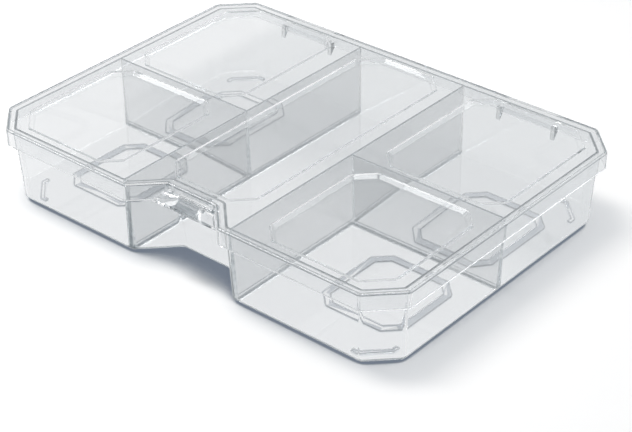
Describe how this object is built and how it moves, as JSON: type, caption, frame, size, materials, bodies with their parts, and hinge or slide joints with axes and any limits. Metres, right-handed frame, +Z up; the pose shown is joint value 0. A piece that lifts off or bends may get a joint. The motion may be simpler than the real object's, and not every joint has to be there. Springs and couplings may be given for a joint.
{
  "type": "compartment storage box",
  "caption": "Flat clear plastic storage box with partitioned tray, back-hinged lid with sunk windows, and a front latch in a finger notch.",
  "frame": {"origin": "on the ground under the middle of the closed box", "axes": "+Z up, +X to the right of someone facing the latch, +Y to the hinges"},
  "size_m": [0.29, 0.21, 0.0486],
  "materials": {
    "clear_tray_plastic": "clear, polished",
    "clear_lid_plastic": "clear, polished",
    "clear_pin_plastic": "clear, smooth"
  },
  "bodies": {
    "tray": {"tray": "clear_tray_plastic", "hinge_pin_left": "clear_pin_plastic", "hinge_pin_right": "clear_pin_plastic"},
    "lid": {"lid": "clear_lid_plastic"},
    "latch": {"latch": "clear_lid_plastic"}
  },
  "joints": [
    {"name": "lid_hinge", "type": "hinge", "parent": "tray", "child": "lid", "pos_m": [0, 0.1029, 0.039], "axis": [-1, 0, 0], "range_deg": [0, 110]},
    {"name": "latch_hinge", "type": "hinge", "parent": "lid", "child": "latch", "pos_m": [0, -0.0886, 0.04305], "axis": [-1, 0, 0], "range_deg": [0, 35]}
  ]
}
